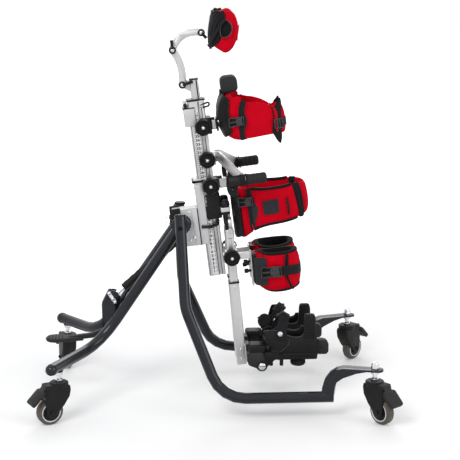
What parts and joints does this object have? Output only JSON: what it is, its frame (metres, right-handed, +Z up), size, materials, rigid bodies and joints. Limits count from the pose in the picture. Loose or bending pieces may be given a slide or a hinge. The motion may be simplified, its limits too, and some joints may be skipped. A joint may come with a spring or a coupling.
{
  "type": "pediatric standing frame",
  "caption": "Standing frame on braked casters: tilting mast with headrest, chest and pelvis supports, handle, knee pads and foot sandals, each on its own adjustment.",
  "frame": {"origin": "centre of the overall box in plan, on the floor plane", "axes": "+Z up, +X towards the side that the supports and sandals face, +Y away from the viewer of the picture, across the frame"},
  "size_m": [1.108, 0.7394, 1.2016],
  "materials": {
    "frame": "satin",
    "aluminium": "anodised",
    "chrome": "polished",
    "black": "moulded",
    "rubber": "matt",
    "tread": "matt",
    "red": "woven cover"
  },
  "bodies": {
    "base": {"rear_leg_near": "frame", "rear_leg_far": "frame", "front_leg_near": "frame", "front_leg_far": "frame", "rear_brace": "frame", "spring_rod": "chrome"},
    "mast": {"tilt_carriage": "aluminium", "mast_rail": "aluminium", "head_clamp": "aluminium", "leg_carriage": "black"},
    "spring_boot": {"spring_sleeve": "black"},
    "foot_pedal": {"tilt_pedal": "black"},
    "head_post": {"head_post": "black"},
    "head_lower_link": {"head_link_lower": "aluminium"},
    "head_upper_link": {"head_link_upper": "aluminium"},
    "headrest": {"headrest_shell": "black", "headrest_cushion": "red"},
    "chest_slider": {"chest_carriage": "black"},
    "chest_clamp_knob": {"chest_knob": "black"},
    "chest_support": {"chest_arm": "aluminium", "chest_belt": "red", "chest_shell": "black", "chest_buckle_near": "black", "chest_buckle_far": "black"},
    "handle": {"handle_frame": "aluminium", "handle_grip_near": "rubber", "handle_grip_far": "rubber"},
    "handle_clamp_knob": {"handle_knob": "black"},
    "pelvis_slider": {"pelvis_carriage": "black"},
    "pelvis_clamp_knob": {"pelvis_knob": "black"},
    "pelvis_support": {"pelvis_arm": "aluminium", "pelvis_belt": "red", "pelvis_shell": "black", "pelvis_buckle_near": "black", "pelvis_buckle_far": "black"},
    "leg_release_lever": {"leg_lever": "black"},
    "caster_rear_near": {"caster_hood_rear_near": "black"},
    "wheel_rear_near": {"caster_wheel_rear_near": "tread"},
    "brake_rear_near": {"brake_pedal_rear_near": "black"},
    "caster_rear_far": {"caster_hood_rear_far": "black"},
    "wheel_rear_far": {"caster_wheel_rear_far": "tread"},
    "brake_rear_far": {"brake_pedal_rear_far": "black"},
    "caster_front_near": {"caster_hood_front_near": "black"},
    "wheel_front_near": {"caster_wheel_front_near": "tread"},
    "brake_front_near": {"brake_pedal_front_near": "black"},
    "caster_front_far": {"caster_hood_front_far": "black"},
    "wheel_front_far": {"caster_wheel_front_far": "tread"},
    "brake_front_far": {"brake_pedal_front_far": "black"},
    "leg_near": {"leg_post_near": "aluminium"},
    "shin_near": {"leg_sleeve_near": "aluminium"},
    "knee_slider_near": {"knee_arm_near": "aluminium"},
    "knee_clamp_knob_near": {"knee_knob_near": "black"},
    "knee_support_near": {"knee_pad_near": "red"},
    "foot_near": {"sandal_near": "black"},
    "leg_far": {"leg_post_far": "aluminium"},
    "shin_far": {"leg_sleeve_far": "aluminium"},
    "knee_slider_far": {"knee_arm_far": "aluminium"},
    "knee_clamp_knob_far": {"knee_knob_far": "black"},
    "knee_support_far": {"knee_pad_far": "red"},
    "foot_far": {"sandal_far": "black"}
  },
  "joints": [
    {"name": "swivel_rear_near", "type": "hinge", "parent": "base", "child": "caster_rear_near", "pos_m": [-0.46195, -0.23622, -0.00041], "axis": [0, 0, 1], "continuous": true},
    {"name": "wheel_spin_rear_near", "type": "hinge", "parent": "caster_rear_near", "child": "wheel_rear_near", "pos_m": [-0.49071, -0.25025, 0.03959], "axis": [0.4384, -0.8988, 0], "continuous": true},
    {"name": "brake_rear_near", "type": "hinge", "parent": "caster_rear_near", "child": "brake_rear_near", "pos_m": [-0.5006, -0.25507, 0.11659], "axis": [-0.4384, 0.8988, 0], "range_deg": [0, 14]},
    {"name": "swivel_rear_far", "type": "hinge", "parent": "base", "child": "caster_rear_far", "pos_m": [-0.46195, 0.24178, -0.00041], "axis": [0, 0, 1], "continuous": true},
    {"name": "wheel_spin_rear_far", "type": "hinge", "parent": "caster_rear_far", "child": "wheel_rear_far", "pos_m": [-0.47023, 0.27269, 0.03959], "axis": [-0.9659, -0.2588, 0], "continuous": true},
    {"name": "brake_rear_far", "type": "hinge", "parent": "caster_rear_far", "child": "brake_rear_far", "pos_m": [-0.47308, 0.28332, 0.11659], "axis": [0.9659, 0.2588, 0], "range_deg": [0, 14]},
    {"name": "swivel_front_near", "type": "hinge", "parent": "base", "child": "caster_front_near", "pos_m": [0.47405, -0.28422, -0.00041], "axis": [0, 0, 1], "continuous": true},
    {"name": "wheel_spin_front_near", "type": "hinge", "parent": "caster_front_near", "child": "wheel_front_near", "pos_m": [0.49375, -0.30944, 0.03959], "axis": [0.788, 0.6157, 0], "continuous": true},
    {"name": "brake_front_near", "type": "hinge", "parent": "caster_front_near", "child": "brake_front_near", "pos_m": [0.50052, -0.3181, 0.11659], "axis": [-0.788, -0.6157, 0], "range_deg": [0, 14]},
    {"name": "swivel_front_far", "type": "hinge", "parent": "base", "child": "caster_front_far", "pos_m": [0.47405, 0.28978, -0.00041], "axis": [0, 0, 1], "continuous": true},
    {"name": "wheel_spin_front_far", "type": "hinge", "parent": "caster_front_far", "child": "wheel_front_far", "pos_m": [0.49668, 0.31241, 0.03959], "axis": [-0.7071, 0.7071, 0], "continuous": true},
    {"name": "brake_front_far", "type": "hinge", "parent": "caster_front_far", "child": "brake_front_far", "pos_m": [0.50445, 0.32019, 0.11659], "axis": [0.7071, -0.7071, 0], "range_deg": [0, 14]},
    {"name": "tilt", "type": "hinge", "parent": "base", "child": "mast", "pos_m": [-0.09195, 0.00278, 0.55459], "axis": [0, 1, 0], "range_deg": [-10, 12]},
    {"name": "spring_stroke", "type": "slide", "parent": "base", "child": "spring_boot", "axis": [0.7489, 0, 0.6627], "range_m": [-0.0095, 0.0095]},
    {"name": "tilt_pedal", "type": "hinge", "parent": "base", "child": "foot_pedal", "pos_m": [-0.32795, 0.00278, 0.21359], "axis": [0, -1, 0], "range_deg": [0, 10]},
    {"name": "head_height", "type": "slide", "parent": "mast", "child": "head_post", "axis": [-0.1219, 0, 0.9925], "range_m": [-0.02, 0.06]},
    {"name": "head_lower_link", "type": "hinge", "parent": "head_post", "child": "head_lower_link", "pos_m": [-0.08334, 0.00278, 0.97679], "axis": [0, 1, 0], "range_deg": [-20, 15]},
    {"name": "head_upper_link", "type": "hinge", "parent": "head_lower_link", "child": "head_upper_link", "pos_m": [-0.11226, 0.00278, 1.08104], "axis": [0, 1, 0], "range_deg": [-15, 20]},
    {"name": "headrest_tilt", "type": "hinge", "parent": "head_upper_link", "child": "headrest", "pos_m": [-0.02594, 0.00278, 1.13295], "axis": [0, 1, 0], "range_deg": [-12, 12]},
    {"name": "chest_height", "type": "slide", "parent": "mast", "child": "chest_slider", "axis": [-0.1219, 0, 0.9925], "range_m": [-0.02, 0.03]},
    {"name": "chest_knob", "type": "hinge", "parent": "chest_slider", "child": "chest_clamp_knob", "pos_m": [-0.02271, 0.00278, 0.85225], "axis": [0, 1, 0], "range_deg": [0, 270]},
    {"name": "chest_depth", "type": "slide", "parent": "chest_slider", "child": "chest_support", "axis": [0.9925, 0, 0.1219], "range_m": [0, 0.02]},
    {"name": "pelvis_height", "type": "slide", "parent": "mast", "child": "pelvis_slider", "axis": [-0.1219, 0, 0.9925], "range_m": [0, 0.012]},
    {"name": "pelvis_knob", "type": "hinge", "parent": "pelvis_slider", "child": "pelvis_clamp_knob", "pos_m": [-0.00053, 0.00278, 0.67161], "axis": [0, 1, 0], "range_deg": [0, 270]},
    {"name": "pelvis_depth", "type": "slide", "parent": "pelvis_slider", "child": "pelvis_support", "axis": [0.9925, 0, 0.1219], "range_m": [0, 0.015]},
    {"name": "handle_height", "type": "slide", "parent": "mast", "child": "handle", "axis": [-0.1219, 0, 0.9925], "range_m": [-0.01, 0.02]},
    {"name": "handle_knob", "type": "hinge", "parent": "handle", "child": "handle_clamp_knob", "pos_m": [-0.01052, 0.00278, 0.75299], "axis": [0, 1, 0], "range_deg": [0, 270]},
    {"name": "leg_release_lever", "type": "hinge", "parent": "mast", "child": "leg_release_lever", "pos_m": [0.02193, 0.00278, 0.56253], "axis": [0, 1, 0], "range_deg": [0, 30]},
    {"name": "leg_spread_near", "type": "hinge", "parent": "mast", "child": "leg_near", "pos_m": [0.05292, -0.03722, 0.55626], "axis": [-0.9925, 0, -0.1219], "range_deg": [0, 10]},
    {"name": "leg_length_near", "type": "slide", "parent": "leg_near", "child": "shin_near", "axis": [-0.0941, 0, 0.9956], "range_m": [-0.05, 0.005]},
    {"name": "knee_height_near", "type": "slide", "parent": "leg_near", "child": "knee_slider_near", "axis": [-0.0941, 0, 0.9956], "range_m": [-0.004, 0.012]},
    {"name": "knee_knob_near", "type": "hinge", "parent": "knee_slider_near", "child": "knee_clamp_knob_near", "pos_m": [0.06252, -0.03722, 0.45471], "axis": [0, 1, 0], "range_deg": [0, 270]},
    {"name": "knee_depth_near", "type": "slide", "parent": "knee_slider_near", "child": "knee_support_near", "axis": [0.9956, 0, 0.0941], "range_m": [0, 0.02]},
    {"name": "ankle_near", "type": "hinge", "parent": "shin_near", "child": "foot_near", "pos_m": [0.15405, -0.03722, 0.11459], "axis": [0, 1, 0], "range_deg": [-8, 12]},
    {"name": "leg_spread_far", "type": "hinge", "parent": "mast", "child": "leg_far", "pos_m": [0.05292, 0.04278, 0.55626], "axis": [0.9925, 0, 0.1219], "range_deg": [0, 10]},
    {"name": "leg_length_far", "type": "slide", "parent": "leg_far", "child": "shin_far", "axis": [-0.0941, 0, 0.9956], "range_m": [-0.05, 0.005]},
    {"name": "knee_height_far", "type": "slide", "parent": "leg_far", "child": "knee_slider_far", "axis": [-0.0941, 0, 0.9956], "range_m": [-0.004, 0.012]},
    {"name": "knee_knob_far", "type": "hinge", "parent": "knee_slider_far", "child": "knee_clamp_knob_far", "pos_m": [0.06252, 0.04278, 0.45471], "axis": [0, 1, 0], "range_deg": [0, 270]},
    {"name": "knee_depth_far", "type": "slide", "parent": "knee_slider_far", "child": "knee_support_far", "axis": [0.9956, 0, 0.0941], "range_m": [0, 0.02]},
    {"name": "ankle_far", "type": "hinge", "parent": "shin_far", "child": "foot_far", "pos_m": [0.15405, 0.04278, 0.11459], "axis": [0, 1, 0], "range_deg": [-8, 12]}
  ],
  "couplings": [
    {"joint": "spring_stroke", "follows": "tilt", "m_per_rad": -0.03775}
  ]
}
